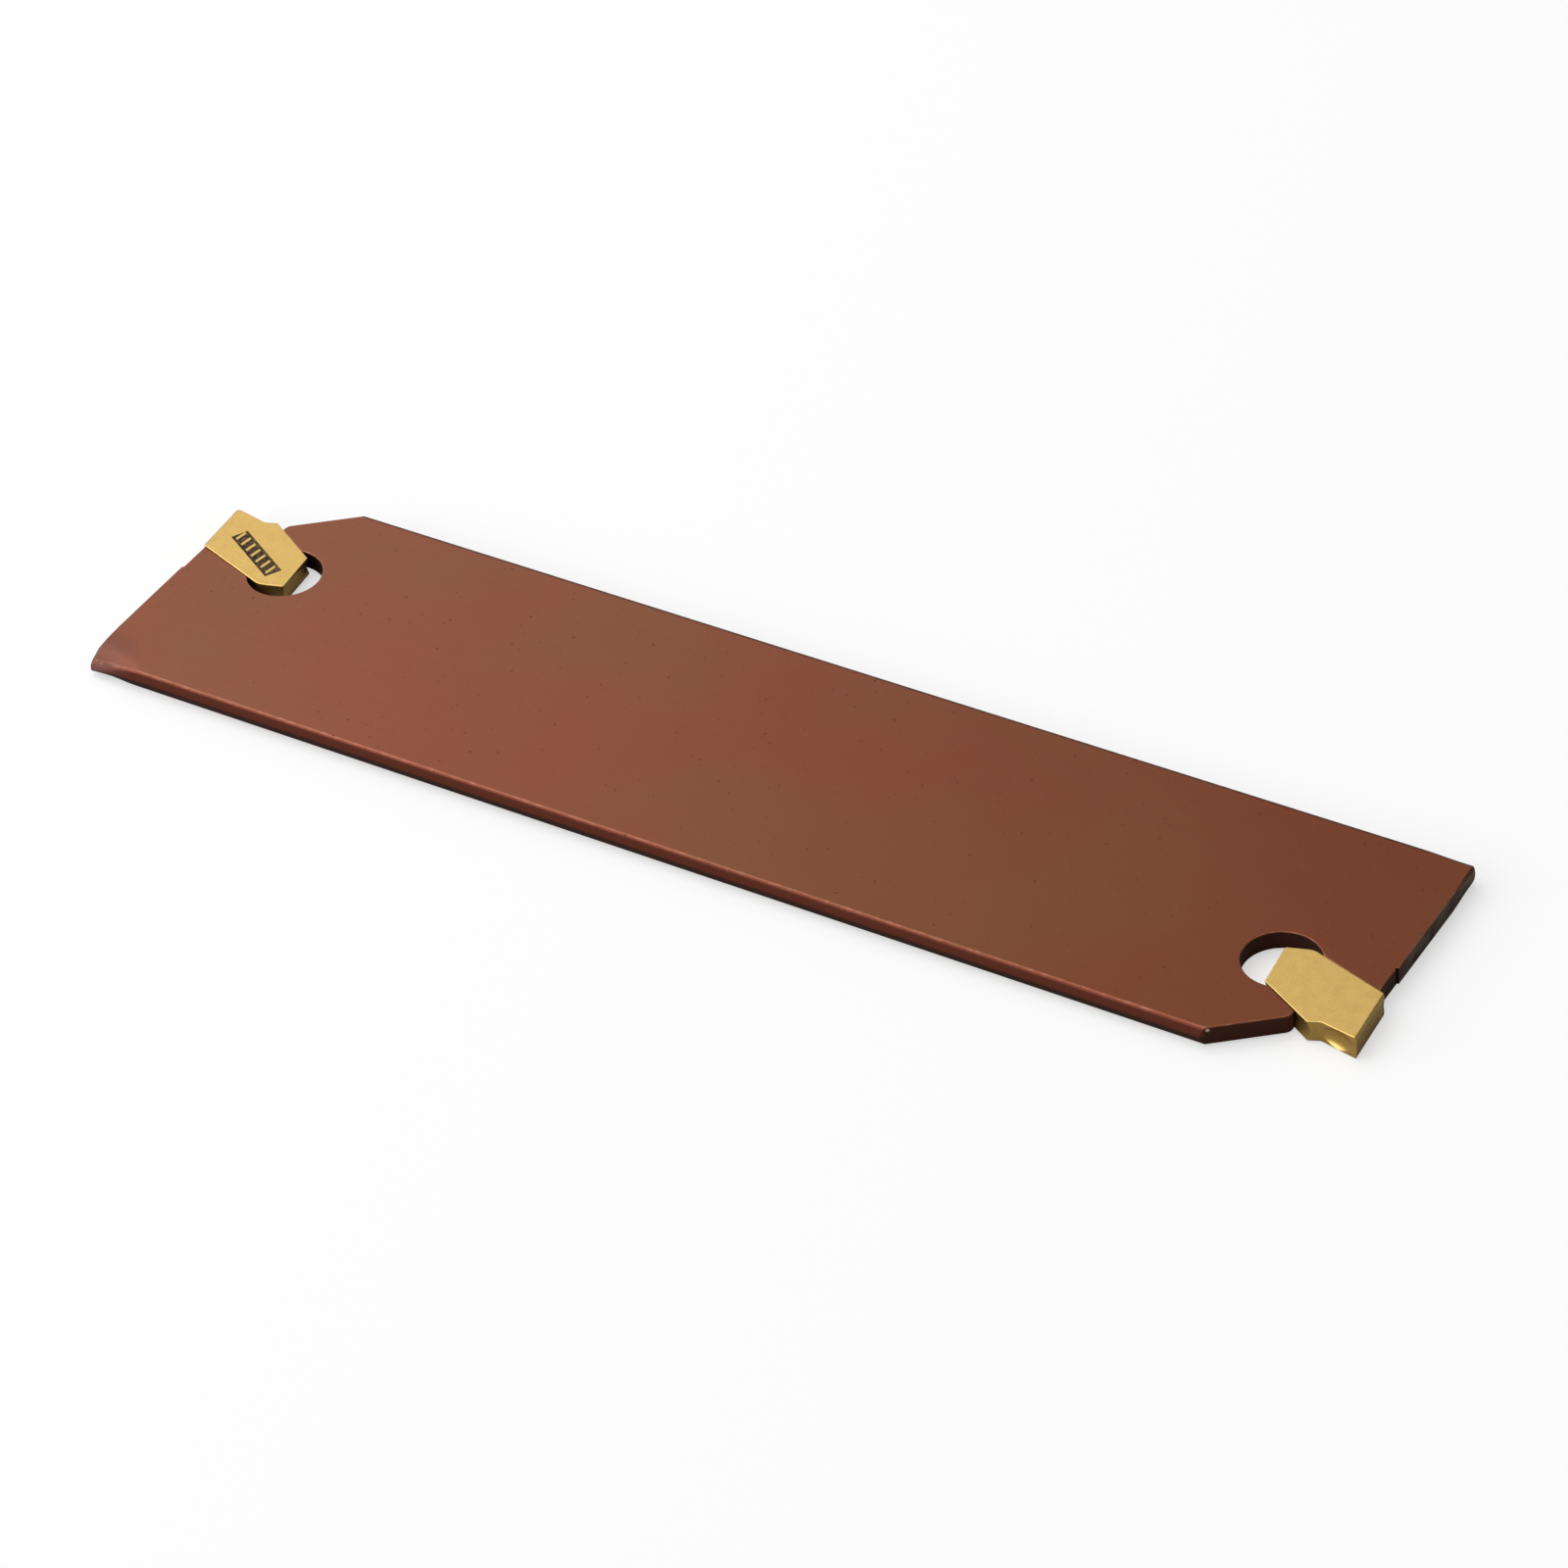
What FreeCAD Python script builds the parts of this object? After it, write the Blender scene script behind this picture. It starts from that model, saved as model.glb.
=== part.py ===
"""Double-ended self-grip parting blade: a flat steel blade with a carbide insert wedged into each end.

The blade lies flat. +X runs along its length, +Y across its height and +Z through its thickness.
The origin is under the middle of the blade, level with the lowest corners of the inserts.
Both ends are the same, turned half a turn about the blade's middle.

An insert is drawn in its own frame: the cutting edge is the origin, +X points out of the blade's
end and +Y points up to the rake side. At the blade's right end that up is the blade's -Y.
"""

import FreeCAD, Part
import math
import os

import Sketcher
from FreeCAD import Placement, Rotation, Vector

# Millimetres and degrees.
SIZES = {
    # The blade: a bar with a 150 degree vee along each long edge, clamped by a tool block.
    "blade_length": 110.0,
    "blade_height": 26.0,
    "blade_thickness": 1.6,
    "prism_bevel_angle": 15.0,
    "prism_edge_radius": 0.25,
    "prism_crest_radius": 0.15,
    "outer_corner_radius": 0.5,
    # The corner that is cut away to make room above each insert.
    "corner_cut_length": 10.0,
    "corner_cut_angle": 38.8,
    "jaw_tip_radius": 0.8,
    # The hole that makes the jaw springy and takes the extractor key.
    "key_hole_diameter": 6.2,
    "key_hole_inset": 8.1,
    "key_hole_offset": 3.35,
    # The lower jaw's end stands back a little beside the insert.
    "jaw_relief_depth": 0.15,
    "jaw_relief_start": 0.4,
    # The place of the cutting edge, and the wedge that grips the insert.
    "edge_projection": 0.28,
    "edge_offset": 8.78,
    "lower_flank_angle": 18.5,
    "upper_flank_angle": 29.6,
    "vee_angle": 15.0,
    "seat_clearance": 0.01,
    # How far each jaw's ridge runs back from the insert's foot or heel, into the key hole.
    "lower_ridge_length": 7.0,
    "upper_ridge_length": 4.6,
    # The insert.
    "insert_width": 2.0,
    "insert_back_width": 1.6,
    "insert_length": 9.33,
    "upper_flank_back": 8.93,
    "lower_flank_back": 7.18,
    "back_chamfer_angle": 17.0,
    "back_corner_radius": 1.5,
    "front_height": 5.38,
    "clearance_angle": 3.3,
    "rake_angle": 10.0,
    "rake_length": 3.14,
    "heel_setback": 4.11,
    "heel_drop": 0.13,
    "foot_chamfer": 0.5,
    "cutting_corner_radius": 0.2,
    # The chip former: a dish hollowed in the rake face.
    "dish_setback": 1.65,
    "dish_depth": 0.32,
    "dish_radius": 1.45,
    "dish_arc_radius": 3.5,
    # The right insert stands this far forward of the left one's depth in its wedge.
    "right_insert_advance": 0.57,
}

MARGIN = 2.0  # how far a cutting profile reaches past the material
SMALL_MARGIN = 0.1  # the same, where a neighbouring surface is close
ALONG = 0.99  # the least share of a direction that counts as lying along an axis
PARTS_FOLDER = "parts"

# Points and lengths that several features share, as expressions on the sheet.
HALF_LENGTH = "dims.blade_length / 2"
HALF_HEIGHT = "dims.blade_height / 2"
HALF_WIDTH = "dims.insert_width / 2"
HALF_THICKNESS = "dims.blade_thickness / 2"
VEE_DEPTH = f"({HALF_WIDTH} * tan(dims.vee_angle * 1deg))"
WEDGE_ANGLE = "((dims.lower_flank_angle + dims.upper_flank_angle) / 2)"
FOOT = ("-dims.front_height * tan(dims.clearance_angle * 1deg)", "-dims.front_height")
HEEL = ("-dims.heel_setback", "-dims.heel_drop")


def make_sheet(doc):
    """The driving sizes, one named cell each."""
    sheet = doc.addObject("Spreadsheet::Sheet", "dims")
    for row, (name, size) in enumerate(SIZES.items(), start=1):
        sheet.set(f"A{row}", name)
        sheet.set(f"B{row}", str(size))
        sheet.setAlias(f"B{row}", name)
    doc.recompute()


def origin_plane(body, role):
    return next(f for f in body.Origin.OriginFeatures if f.Role == role)


def make_sketch(body, name, role="XY_Plane"):
    sketch = body.newObject("Sketcher::SketchObject", name)
    sketch.AttachmentSupport = [(origin_plane(body, role), "")]
    sketch.MapMode = "FlatFace"
    return sketch


def pin_point(sketch, geometry, point, place):
    """Holds one point of a sketch at a place given as two expressions."""
    now = sketch.getPoint(geometry, point)
    for kind, distance, expression in zip(("DistanceX", "DistanceY"), (now.x, now.y), place):
        index = sketch.addConstraint(Sketcher.Constraint(kind, -1, 1, geometry, point, distance))
        sketch.setExpression(f"Constraints[{index}]", expression)


def draw_polygon(sketch, corners):
    """A closed polygon. It starts on a circle, and its constraints pull each corner into place."""
    count = len(corners)
    angles = [2 * math.pi * k / count for k in range(count)]
    starts = [Vector(math.cos(a), math.sin(a), 0) for a in angles]
    lines = [
        sketch.addGeometry(Part.LineSegment(starts[k], starts[(k + 1) % count]), False)
        for k in range(count)
    ]
    for k in range(count):
        sketch.addConstraint(Sketcher.Constraint("Coincident", lines[k], 2, lines[(k + 1) % count], 1))
        pin_point(sketch, lines[k], 1, corners[k])


def offset_sketch(sketch, base, angle, axis):
    """Moves a sketch within its plane's frame by three expressions, and turns it about one axis."""
    sketch.AttachmentOffset = Placement(Vector(), Rotation(Vector(*axis), 1.0))
    for letter, expression in zip("xyz", base):
        sketch.setExpression(f"AttachmentOffset.Base.{letter}", expression)
    sketch.setExpression("AttachmentOffset.Rotation.Angle", angle)


def pocket_through(body, sketch, name):
    pocket = body.newObject("PartDesign::Pocket", name)
    pocket.Profile = sketch
    pocket.Type = "ThroughAll"
    pocket.SideType = "Symmetric"
    return pocket


def pocket_both_ways(body, sketch, name, forward, backward):
    """A cut of two lengths, given as expressions. A pocket's own way is backward."""
    pocket = body.newObject("PartDesign::Pocket", name)
    pocket.Profile = sketch
    pocket.SideType = "Two sides"
    pocket.Type = "Length"
    pocket.Type2 = "Length"
    pocket.setExpression("Length", backward)
    pocket.setExpression("Length2", forward)


def fillet_edges(body, base, name, radius, wanted):
    """Rounds every edge of the base whose middle and direction pass the test."""
    body.Document.recompute()
    chosen = []
    for number, edge in enumerate(base.Shape.Edges, start=1):
        middle = edge.valueAt((edge.FirstParameter + edge.LastParameter) / 2)
        along = edge.tangentAt(edge.FirstParameter)
        if wanted(middle, along, edge.Length):
            chosen.append(f"Edge{number}")
    fillet = body.newObject("PartDesign::Fillet", name)
    fillet.Base = (base, chosen)
    fillet.setExpression("Radius", radius)
    return fillet


# ---------------------------------------------------------------------------------------------
# Blade


def from_edge(place):
    """A place in the insert's frame, given from the middle of the blade at its right end."""
    x, y = place
    return (
        f"{HALF_LENGTH} + dims.edge_projection + ({x})",
        f"-(dims.edge_offset + ({y}))",
    )


def along_flank(start, angle, distance, inward):
    """A point beside a flank: some way forward along it, and some way to its left."""
    x, y = start
    slope = f"dims.{angle} * 1deg"
    return (
        f"{x} + ({distance}) * cos({slope}) - ({inward}) * sin({slope})",
        f"{y} + ({distance}) * sin({slope}) + ({inward}) * cos({slope})",
    )


def cut_corner(body, end, turn):
    """Cuts the corner above the insert away, from the long edge to past the jaw's tip."""
    sketch = make_sketch(body, f"{end}_corner_sketch")
    start_x = f"{HALF_LENGTH} - dims.corner_cut_length"
    rise = "tan(dims.corner_cut_angle * 1deg)"
    top = f"-{HALF_HEIGHT} - {MARGIN} * {rise}"
    draw_polygon(
        sketch,
        [
            (f"{start_x} - {MARGIN}", top),
            (f"{HALF_LENGTH} + {MARGIN}", top),
            (
                f"{HALF_LENGTH} + {MARGIN}",
                f"-{HALF_HEIGHT} + (dims.corner_cut_length + {MARGIN}) * {rise}",
            ),
        ],
    )
    offset_sketch(sketch, ("0", "0", "0"), turn, (0, 0, 1))
    pocket_through(body, sketch, f"{end}_corner_cut")


def round_outer_corner(body, end, turn):
    """Rounds the whole corner on the other side of the end, seen from above."""
    radius = SIZES["outer_corner_radius"]
    right, far = SIZES["blade_length"] / 2, SIZES["blade_height"] / 2
    centre = Vector(right - radius, far - radius, 0)
    sketch = make_sketch(body, f"{end}_outer_corner_sketch")
    arc = sketch.addGeometry(
        Part.ArcOfCircle(Part.Circle(centre, Vector(0, 0, 1), radius), 0, math.pi / 2), False
    )
    outside = Vector(right + MARGIN, far + MARGIN, 0)
    corners = [
        Vector(centre.x, far, 0),
        Vector(centre.x, outside.y, 0),
        outside,
        Vector(outside.x, centre.y, 0),
        Vector(right, centre.y, 0),
    ]
    lines = [
        sketch.addGeometry(Part.LineSegment(a, b), False) for a, b in zip(corners, corners[1:])
    ]
    sketch.addConstraint(Sketcher.Constraint("Coincident", arc, 2, lines[0], 1))
    for before, after in zip(lines, lines[1:]):
        sketch.addConstraint(Sketcher.Constraint("Coincident", before, 2, after, 1))
    sketch.addConstraint(Sketcher.Constraint("Coincident", lines[-1], 2, arc, 1))
    inner_x = f"{HALF_LENGTH} - dims.outer_corner_radius"
    inner_y = f"{HALF_HEIGHT} - dims.outer_corner_radius"
    outer_x, outer_y = f"{HALF_LENGTH} + {MARGIN}", f"{HALF_HEIGHT} + {MARGIN}"
    pin_point(sketch, lines[0], 1, (inner_x, HALF_HEIGHT))
    pin_point(sketch, lines[1], 1, (inner_x, outer_y))
    pin_point(sketch, lines[2], 1, (outer_x, outer_y))
    pin_point(sketch, lines[3], 1, (outer_x, inner_y))
    pin_point(sketch, lines[3], 2, (HALF_LENGTH, inner_y))
    bend = sketch.addConstraint(Sketcher.Constraint("Radius", arc, radius))
    sketch.setExpression(f"Constraints[{bend}]", "dims.outer_corner_radius")
    offset_sketch(sketch, ("0", "0", "0"), turn, (0, 0, 1))
    pocket_through(body, sketch, f"{end}_outer_corner")


def cut_wedge_window(body, end, turn):
    """Opens the wedge between the crests of the two jaws, from the key hole out past the end."""
    inward = f"{VEE_DEPTH} - dims.seat_clearance"
    outward = f"-({inward})"
    sketch = make_sketch(body, f"{end}_window_sketch")
    draw_polygon(
        sketch,
        [
            from_edge(along_flank(FOOT, "lower_flank_angle", "-dims.lower_ridge_length", inward)),
            from_edge(along_flank(FOOT, "lower_flank_angle", f"{MARGIN}", inward)),
            from_edge((f"{MARGIN}", f"{MARGIN}")),
            from_edge(along_flank(HEEL, "upper_flank_angle", f"2 * {MARGIN}", outward)),
            from_edge(along_flank(HEEL, "upper_flank_angle", "-dims.upper_ridge_length", outward)),
        ],
    )
    offset_sketch(sketch, ("0", "0", "0"), turn, (0, 0, 1))
    return pocket_through(body, sketch, f"{end}_window")


def cut_jaw_vee(body, end, flank, start, side, length, turn):
    """Slopes one jaw's flank back from its crest on both faces, which leaves a ridge along it."""
    inward = f"{side} * ({VEE_DEPTH} - dims.seat_clearance)"
    x, y = from_edge(along_flank(start, flank, "0", inward))
    sketch = make_sketch(body, f"{end}_{flank}_sketch", "YZ_Plane")
    slope = f"{HALF_WIDTH} * tan(dims.vee_angle * 1deg)"
    draw_polygon(
        sketch,
        [
            ("0", "0"),
            (f"{side} * {slope}", HALF_WIDTH),
            (f"{-side} * {SMALL_MARGIN}", HALF_WIDTH),
            (f"{-side} * {SMALL_MARGIN}", f"-{HALF_WIDTH}"),
            (f"{side} * {slope}", f"-{HALF_WIDTH}"),
        ],
    )
    sign = "-1" if turn == "180" else "1"
    offset_sketch(
        sketch,
        (f"{sign} * ({y})", "0", f"{sign} * ({x})"),
        f"{turn} - dims.{flank}",
        (0, 1, 0),
    )
    pocket_both_ways(body, sketch, f"{end}_{flank}_vee", f"{MARGIN}", length)


def cut_jaw_relief(body, end, turn):
    """Sets the end of the lower jaw back, from a small step up to the insert."""
    sketch = make_sketch(body, f"{end}_jaw_relief_sketch")
    inner = f"{HALF_LENGTH} - dims.jaw_relief_depth"
    outer = f"{HALF_LENGTH} + {MARGIN}"
    near, far = "-dims.edge_offset", "-dims.jaw_relief_start"
    draw_polygon(sketch, [(inner, near), (outer, near), (outer, far), (inner, far)])
    offset_sketch(sketch, ("0", "0", "0"), turn, (0, 0, 1))
    pocket_through(body, sketch, f"{end}_jaw_relief")


def cut_key_hole(body, end, turn):
    sketch = make_sketch(body, f"{end}_key_hole_sketch")
    diameter = SIZES["key_hole_diameter"]
    circle = sketch.addGeometry(Part.Circle(Vector(), Vector(0, 0, 1), diameter / 2), False)
    pin_point(sketch, circle, 3, (f"{HALF_LENGTH} - dims.key_hole_inset", "-dims.key_hole_offset"))
    size = sketch.addConstraint(Sketcher.Constraint("Diameter", circle, diameter))
    sketch.setExpression(f"Constraints[{size}]", "dims.key_hole_diameter")
    offset_sketch(sketch, ("0", "0", "0"), turn, (0, 0, 1))
    pocket_through(body, sketch, f"{end}_key_hole")


def heel_place(side):
    """Where the insert's heel sits at one end, which is close to the jaw's tip."""
    x = SIZES["blade_length"] / 2 + SIZES["edge_projection"] - SIZES["heel_setback"]
    return Vector(x, SIZES["heel_drop"] - SIZES["edge_offset"], 0) * side


def make_blade(doc):
    """The bar with its vee edges, then the same cuts at both ends."""
    body = doc.addObject("PartDesign::Body", "blade")
    body.Label = "blade"
    section = make_sketch(body, "prism_section", "YZ_Plane")
    face_edge = f"{HALF_HEIGHT} - {HALF_THICKNESS} * tan(dims.prism_bevel_angle * 1deg)"
    draw_polygon(
        section,
        [
            (face_edge, HALF_THICKNESS),
            (f"-({face_edge})", HALF_THICKNESS),
            (f"-{HALF_HEIGHT}", "0"),
            (f"-({face_edge})", f"-{HALF_THICKNESS}"),
            (face_edge, f"-{HALF_THICKNESS}"),
            (HALF_HEIGHT, "0"),
        ],
    )
    bar = body.newObject("PartDesign::Pad", "bar")
    bar.Profile = section
    bar.SideType = "Symmetric"
    bar.setExpression("Length", "dims.blade_length")

    face_z = SIZES["blade_thickness"] / 2

    def on_face(middle, along, length):
        return abs(along.x) > ALONG and abs(middle.z) > face_z / 2

    def on_crest(middle, along, length):
        crest_y = SIZES["blade_height"] / 2
        return abs(along.x) > ALONG and abs(middle.z) < face_z / 2 and abs(middle.y) > crest_y / 2

    tip = fillet_edges(body, bar, "prism_edges", "dims.prism_edge_radius", on_face)
    tip = fillet_edges(body, tip, "prism_crests", "dims.prism_crest_radius", on_crest)
    for end, turn in (("right", "0"), ("left", "180")):
        cut_corner(body, end, turn)
        round_outer_corner(body, end, turn)
        tip = cut_wedge_window(body, end, turn)
        heel = heel_place(-1 if end == "left" else 1)

        def on_jaw_tip(middle, along, length):
            aside = math.hypot(middle.x - heel.x, middle.y - heel.y)
            return abs(along.z) > ALONG and aside < MARGIN

        fillet_edges(body, tip, f"{end}_jaw_tip", "dims.jaw_tip_radius", on_jaw_tip)
        cut_jaw_vee(body, end, "lower_flank_angle", FOOT, 1, "dims.lower_ridge_length", turn)
        cut_jaw_vee(body, end, "upper_flank_angle", HEEL, -1, "dims.upper_ridge_length", turn)
        cut_jaw_relief(body, end, turn)
        cut_key_hole(body, end, turn)
    body.setExpression("Placement.Base.z", HALF_WIDTH)
    return body


# ---------------------------------------------------------------------------------------------
# Insert


def cut_flank_groove(body, flank, start, side):
    """The vee groove that a jaw's ridge sits in, right through along one flank."""
    sketch = make_sketch(body, f"{flank}_sketch", "YZ_Plane")
    outside = f"{-side} * {SMALL_MARGIN}"
    draw_polygon(
        sketch,
        [
            (f"{side} * {VEE_DEPTH}", "0"),
            ("0", HALF_WIDTH),
            (outside, HALF_WIDTH),
            (outside, f"-{HALF_WIDTH}"),
            ("0", f"-{HALF_WIDTH}"),
        ],
    )
    x, y = start
    offset_sketch(sketch, (y, "0", x), f"dims.{flank}", (0, 1, 0))
    return pocket_through(body, sketch, f"{flank}_groove")


def cut_side_reliefs(body):
    """Tapers both side faces, so that only the cutting edge is full width."""
    sketch = make_sketch(body, "side_relief_sketch", "XZ_Plane")
    back = "-dims.insert_length"
    for sign in ("", "-"):
        draw_polygon(
            sketch,
            [
                ("0", f"{sign}{HALF_WIDTH}"),
                (f"{back} - {MARGIN}", f"{sign}{HALF_WIDTH}"),
                (f"{back} - {MARGIN}", f"{sign}dims.insert_back_width / 2"),
                (back, f"{sign}dims.insert_back_width / 2"),
            ],
        )
    return pocket_through(body, sketch, "side_reliefs")


def cut_dish(body):
    """The chip former's dish: a spindle laid along the rake face, sunk into its middle."""
    sketch = make_sketch(body, "dish_sketch")
    bulge, arc_radius = SIZES["dish_radius"], SIZES["dish_arc_radius"]
    centre_height = arc_radius - bulge
    half_chord = math.sqrt(arc_radius**2 - centre_height**2)
    left, right = Vector(-half_chord, 0, 0), Vector(half_chord, 0, 0)
    arc = sketch.addGeometry(Part.Arc(left, Vector(0, -bulge, 0), right), False)
    chord = sketch.addGeometry(Part.LineSegment(right, left), False)
    sketch.addConstraint(Sketcher.Constraint("Coincident", arc, 2, chord, 1))
    sketch.addConstraint(Sketcher.Constraint("Coincident", arc, 1, chord, 2))
    sketch.addConstraint(Sketcher.Constraint("PointOnObject", chord, 1, -1))
    sketch.addConstraint(Sketcher.Constraint("PointOnObject", chord, 2, -1))
    pin_point(sketch, arc, 3, ("0", "dims.dish_arc_radius - dims.dish_radius"))
    size = sketch.addConstraint(Sketcher.Constraint("Radius", arc, arc_radius))
    sketch.setExpression(f"Constraints[{size}]", "dims.dish_arc_radius")
    slope = "dims.rake_angle * 1deg"
    lift = "(dims.dish_radius - dims.dish_depth)"
    place = (
        f"-dims.dish_setback * cos({slope}) - {lift} * sin({slope})",
        f"-dims.dish_setback * sin({slope}) + {lift} * cos({slope})",
        "0",
    )
    offset_sketch(sketch, place, "dims.rake_angle", (0, 0, 1))
    groove = body.newObject("PartDesign::Groove", "dish")
    groove.Profile = sketch
    groove.ReferenceAxis = (sketch, ["H_Axis"])
    groove.Angle = 360.0
    return groove


def make_insert(doc, name):
    """The insert's outline as a plate, then its reliefs, grooves, chip former and edges."""
    body = doc.addObject("PartDesign::Body", name)
    body.Label = name
    outline = make_sketch(body, "outline")
    foot_slope = "tan(dims.lower_flank_angle * 1deg)"
    heel_slope = "tan(dims.upper_flank_angle * 1deg)"
    heel_back_y = f"-dims.heel_drop - (dims.upper_flank_back - dims.heel_setback) * {heel_slope}"
    foot_back_y = f"-dims.front_height - (dims.lower_flank_back + ({FOOT[0]})) * {foot_slope}"
    chamfer_rise = (
        "(dims.insert_length - dims.lower_flank_back) * tan(dims.back_chamfer_angle * 1deg)"
    )
    draw_polygon(
        outline,
        [
            ("0", "0"),
            (
                f"{FOOT[0]} + dims.foot_chamfer * sin(dims.clearance_angle * 1deg)",
                f"{FOOT[1]} + dims.foot_chamfer * cos(dims.clearance_angle * 1deg)",
            ),
            along_flank(FOOT, "lower_flank_angle", "-dims.foot_chamfer", "0"),
            ("-dims.lower_flank_back", foot_back_y),
            ("-dims.insert_length", f"{foot_back_y} + {chamfer_rise}"),
            ("-dims.upper_flank_back", heel_back_y),
            HEEL,
            ("-dims.rake_length", "-dims.rake_length * tan(dims.rake_angle * 1deg)"),
        ],
    )
    plate = body.newObject("PartDesign::Pad", "plate")
    plate.Profile = outline
    plate.SideType = "Symmetric"
    plate.setExpression("Length", "dims.insert_width")

    def on_front(middle, along, length):
        ahead = middle.x > -SIZES["rake_length"] / 2
        return ahead and length > SIZES["front_height"] / 2

    def on_back_corner(middle, along, length):
        aside = abs(middle.x + SIZES["lower_flank_back"])
        return abs(along.z) > ALONG and aside < SMALL_MARGIN

    tip = fillet_edges(body, plate, "cutting_corners", "dims.cutting_corner_radius", on_front)
    fillet_edges(body, tip, "back_corner", "dims.back_corner_radius", on_back_corner)
    cut_side_reliefs(body)
    cut_flank_groove(body, "lower_flank_angle", FOOT, 1)
    cut_flank_groove(body, "upper_flank_angle", HEEL, -1)
    cut_dish(body)
    return body


def place_inserts(left, right):
    """Turns each insert rake side out at its own end, with its cutting edge in place."""
    left.Placement = Placement(Vector(), Rotation(Vector(0, 1, 0), 180))
    left.setExpression("Placement.Base.x", f"-({HALF_LENGTH} + dims.edge_projection)")
    left.setExpression("Placement.Base.y", "dims.edge_offset")
    left.setExpression("Placement.Base.z", HALF_WIDTH)
    right.Placement = Placement(Vector(), Rotation(Vector(1, 0, 0), 180))
    advance = "dims.right_insert_advance"
    right.setExpression(
        "Placement.Base.x",
        f"{HALF_LENGTH} + dims.edge_projection + {advance} * cos({WEDGE_ANGLE} * 1deg)",
    )
    right.setExpression(
        "Placement.Base.y", f"-(dims.edge_offset + {advance} * sin({WEDGE_ANGLE} * 1deg))"
    )
    right.setExpression("Placement.Base.z", HALF_WIDTH)


# ---------------------------------------------------------------------------------------------


def check_document(doc, bodies):
    """Stops before anything is written if a feature failed or a solid is bad."""
    for item in doc.Objects:
        if "Invalid" in item.State or "Error" in item.State:
            raise RuntimeError(f"{item.Name} failed: {item.State}")
    for body in bodies:
        if body.Shape.isNull() or not body.Shape.isValid() or len(body.Shape.Solids) != 1:
            raise RuntimeError(f"{body.Label} is not one valid solid")


def main():
    doc = FreeCAD.newDocument("parting_blade")
    make_sheet(doc)
    blade = make_blade(doc)
    left = make_insert(doc, "left_insert")
    right = make_insert(doc, "right_insert")
    place_inserts(left, right)
    doc.recompute()
    bodies = [blade, left, right]
    check_document(doc, bodies)
    os.makedirs(PARTS_FOLDER, exist_ok=True)
    for body in bodies:
        body.Shape.exportStep(os.path.join(PARTS_FOLDER, f"{body.Label}.step"))
        box = body.Shape.BoundBox
        print(f"{body.Label}: {body.Shape.Volume:.3f} mm3, {box.XLength:.2f} x {box.YLength:.2f}")


main()
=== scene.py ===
"""Looks of a lathe parting blade: a brown-coated steel blade with a gold-coated insert at each end.

Each piece is a stack of outlines. An outline is a closed run of walls seen from above, with the
piece to the left of each wall. Every wall has a kind, and each level of the stack moves the walls
inward by what their kind says at that height, which makes the vees, bevels and rounded edges.
Shapes are worked out in millimetres, and stack_mesh turns them into metres.
"""

import math

import bpy
from mathutils import Euler, Matrix, Vector


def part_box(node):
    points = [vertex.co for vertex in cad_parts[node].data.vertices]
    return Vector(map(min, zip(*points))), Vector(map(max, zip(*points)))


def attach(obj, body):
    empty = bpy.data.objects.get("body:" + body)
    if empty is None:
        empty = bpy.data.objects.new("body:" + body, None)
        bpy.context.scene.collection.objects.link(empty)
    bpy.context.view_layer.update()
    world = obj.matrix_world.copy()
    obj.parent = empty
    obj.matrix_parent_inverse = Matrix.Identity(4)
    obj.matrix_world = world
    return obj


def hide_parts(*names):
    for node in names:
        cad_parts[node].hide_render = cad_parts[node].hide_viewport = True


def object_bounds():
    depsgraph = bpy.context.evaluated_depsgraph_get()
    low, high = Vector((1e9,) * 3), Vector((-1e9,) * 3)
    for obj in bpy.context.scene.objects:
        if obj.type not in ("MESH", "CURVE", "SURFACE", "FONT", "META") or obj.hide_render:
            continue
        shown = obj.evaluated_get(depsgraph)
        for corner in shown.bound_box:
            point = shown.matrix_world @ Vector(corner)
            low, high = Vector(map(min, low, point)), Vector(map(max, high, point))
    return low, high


MM = 0.001  # Blender's unit is the metre

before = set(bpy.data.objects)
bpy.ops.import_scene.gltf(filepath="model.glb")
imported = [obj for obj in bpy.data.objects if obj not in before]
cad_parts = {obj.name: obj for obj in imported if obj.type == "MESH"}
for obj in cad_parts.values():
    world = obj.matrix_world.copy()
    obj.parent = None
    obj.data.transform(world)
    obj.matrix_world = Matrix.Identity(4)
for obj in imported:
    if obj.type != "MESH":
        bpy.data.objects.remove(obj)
cad_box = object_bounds()
blade_low, blade_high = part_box("blade")
left_low, left_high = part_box("left_insert")
_, right_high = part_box("right_insert")

# Both kinds of piece.
EDGE_ANGLES = range(15, 91, 15)  # degrees round an edge, with a level at each
ARC_STEP = math.radians(12)
LEAST_TURN = 1e-3
GENTLE_TURN = 0.4  # the sine of a turn that is moved in along the mean of its two normals
SHARP_ANGLE = math.radians(32)
RIM = 0.08  # the faces start this far in from their edges
BEVEL_SLOPE = math.tan(math.radians(15))

# The blade, as its right end. The left end is the same after half a turn.
HALF_LENGTH = blade_high.x / MM
HALF_HEIGHT = 13.0
HALF_THICKNESS = (blade_high.z - blade_low.z) / 2 / MM
MID_Z = (blade_high.z + blade_low.z) / 2 / MM
WALL_HEIGHTS = (0.02, 0.04, 0.15, 0.25, 0.35, 0.45)  # levels above the mid-plane
BLADE_SPACING = {"edge": 0.5, "plain": 1.0, "upper": 0.3, "lower": 0.3}  # of points along a wall
BLADE_WEAR_AND_HIGHLIGHT_START = 0.5
PRISM_EDGE_RADIUS = 0.25
PRISM_CREST_RADIUS = 0.15
EDGE_BREAK = 0.05
CORNER_CUT_LENGTH = 10.0
CORNER_CUT_ANGLE = math.radians(38.8)
JAW_TIP_RADIUS = 0.8
OUTER_CORNER_RADIUS = 0.5
KEY_HOLE = Vector((46.9, -3.35))
KEY_HOLE_RADIUS = 3.1
KEY_HOLE_STEPS = 48
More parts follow.
